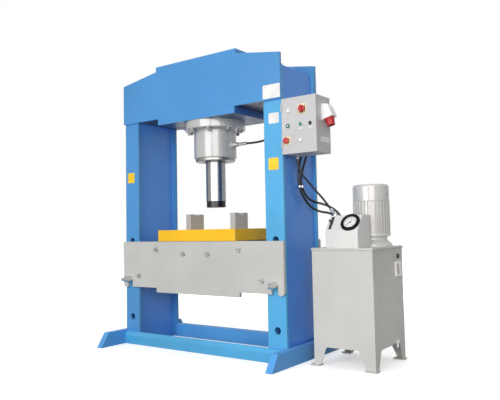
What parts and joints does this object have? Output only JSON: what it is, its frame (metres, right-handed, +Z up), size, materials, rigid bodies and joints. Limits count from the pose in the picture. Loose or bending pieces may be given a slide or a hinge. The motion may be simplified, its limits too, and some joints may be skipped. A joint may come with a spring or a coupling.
{
  "type": "hydraulic workshop press",
  "caption": "H-frame hydraulic press with a vertical ram, a pinned table with a loose platen, a wall-type control box and a separate motor-driven oil tank.",
  "frame": {"origin": "middle of the footprint on the floor, between the press's left foot and the tank's right foot pads", "axes": "+Z up, +X to the operator's right, +Y away from the operator; the press's own centre line stands at X = -0.259"},
  "size_m": [2.058, 0.906, 2.05],
  "materials": {
    "press_blue": "semi-gloss paint",
    "table_grey": "semi-gloss paint",
    "platen_yellow": "semi-gloss paint",
    "cylinder_grey": "semi-gloss paint",
    "tank_grey": "semi-gloss paint",
    "box_paint": "textured paint",
    "bright_steel": "zinc plated",
    "dark_steel": "hardened",
    "chrome_plate": "polished",
    "black_plastic": "matt",
    "white_plastic": "gloss",
    "red_plastic": "gloss",
    "green_plastic": "gloss",
    "yellow_plastic": "matt",
    "grey_plastic": "matt",
    "lens_white": "gloss",
    "hose_rubber": "matt"
  },
  "bodies": {
    "frame": {"crown_front_plate": "press_blue", "crown_rear_plate": "press_blue", "crown_cap_plate": "press_blue", "crown_seat_plate": "press_blue", "crown_inner_plates": "press_blue", "left_side_plates": "press_blue", "left_webs": "press_blue", "right_side_plates": "press_blue", "right_webs": "press_blue", "feet": "press_blue", "front_crossbar": "press_blue", "rear_crossbar": "press_blue", "cylinder_barrel": "cylinder_grey", "cylinder_gland": "dark_steel", "flange_bolts": "bright_steel", "control_box": "box_paint", "mounting_plate": "bright_steel", "switchgear": "grey_plastic", "inlet_housing": "white_plastic", "inlet_socket": "red_plastic", "pipework": "bright_steel", "cylinder_hose": "hose_rubber", "feed_hose": "hose_rubber", "return_hose": "hose_rubber", "control_conduit": "black_plastic", "tank_body": "tank_grey", "tank_lid": "tank_grey", "level_gauge": "white_plastic", "drain_valve": "bright_steel", "gauge_housing": "tank_grey", "gauge_case": "black_plastic", "lever_mount": "black_plastic", "motor_body": "tank_grey", "fan_cowl": "tank_grey"},
    "ram": {"piston": "bright_steel", "ram_rod": "chrome_plate", "ram_nose": "dark_steel"},
    "table": {"table_front_plate": "table_grey", "table_rear_plate": "table_grey", "table_spacers": "table_grey", "table_bolts": "dark_steel", "platen": "platen_yellow", "v_blocks": "cylinder_grey"},
    "pin_left": {"support_pin_left": "bright_steel"},
    "pin_right": {"support_pin_right": "bright_steel"},
    "door": {"control_door": "box_paint", "main_switch_plate": "yellow_plastic", "control_bezels": "bright_steel", "signal_lamp": "lens_white"},
    "main_switch": {"main_switch_knob": "red_plastic"},
    "start_push": {"start_button": "green_plastic"},
    "stop_push": {"stop_button": "white_plastic"},
    "selector": {"selector_knob": "green_plastic"},
    "lock": {"key_lock": "black_plastic"},
    "emergency_push": {"emergency_stop": "red_plastic"},
    "lever": {"valve_lever": "black_plastic"},
    "needle": {"gauge_needle": "black_plastic"},
    "rotor": {"motor_fan": "grey_plastic"},
    "cap": {"filler_cap": "black_plastic"},
    "drain_lever": {"drain_handle": "bright_steel"}
  },
  "joints": [
    {"name": "ram_slide", "type": "slide", "parent": "frame", "child": "ram", "axis": [0, 0, -1], "range_m": [-0.265, 0.112]},
    {"name": "table_slide", "type": "slide", "parent": "frame", "child": "table", "axis": [0, 0, 1], "range_m": [0, 0.04]},
    {"name": "pin_left_slide", "type": "slide", "parent": "frame", "child": "pin_left", "axis": [0, 1, 0], "range_m": [0, 0.5]},
    {"name": "pin_right_slide", "type": "slide", "parent": "frame", "child": "pin_right", "axis": [0, 1, 0], "range_m": [0, 0.5]},
    {"name": "door_hinge", "type": "hinge", "parent": "frame", "child": "door", "pos_m": [0.468, -0.226, 1.4755], "axis": [0, 0, -1], "range_deg": [0, 110]},
    {"name": "main_switch_turn", "type": "hinge", "parent": "door", "child": "main_switch", "pos_m": [0.618, -0.221, 1.571], "axis": [0, 1, 0], "range_deg": [0, 90]},
    {"name": "start_press", "type": "slide", "parent": "door", "child": "start_push", "axis": [0, 1, 0], "range_m": [0, 0.004], "stiffness_N_per_m": 600},
    {"name": "stop_press", "type": "slide", "parent": "door", "child": "stop_push", "axis": [0, 1, 0], "range_m": [0, 0.004], "stiffness_N_per_m": 600},
    {"name": "selector_turn", "type": "hinge", "parent": "door", "child": "selector", "pos_m": [0.607, -0.221, 1.477], "axis": [0, 1, 0], "range_deg": [-45, 45]},
    {"name": "lock_turn", "type": "hinge", "parent": "door", "child": "lock", "pos_m": [0.675, -0.221, 1.476], "axis": [0, 1, 0], "range_deg": [0, 90]},
    {"name": "emergency_press", "type": "slide", "parent": "door", "child": "emergency_push", "axis": [0, 1, 0], "range_m": [0, 0.005], "stiffness_N_per_m": 900},
    {"name": "lever_tilt", "type": "hinge", "parent": "frame", "child": "lever", "pos_m": [0.717, 0.00942, 0.80723], "axis": [1, 0, 0], "range_deg": [-18, 18], "stiffness_Nm_per_rad": 8},
    {"name": "needle_turn", "type": "hinge", "parent": "frame", "child": "needle", "pos_m": [0.846, -0.066, 0.865], "axis": [0, 0.7939, -0.6081], "range_deg": [0, 270], "stiffness_Nm_per_rad": 0.02},
    {"name": "motor_spin", "type": "hinge", "parent": "frame", "child": "rotor", "pos_m": [0.86, 0.205, 1.029], "axis": [0, 0, 1], "continuous": true},
    {"name": "cap_turn", "type": "hinge", "parent": "frame", "child": "cap", "pos_m": [1.012, 0.24, 0.652], "axis": [1, 0, 0], "continuous": true},
    {"name": "drain_turn", "type": "hinge", "parent": "frame", "child": "drain_lever", "pos_m": [1.021, 0.1545, 0.134], "axis": [0, 1, 0], "range_deg": [0, 90]}
  ]
}
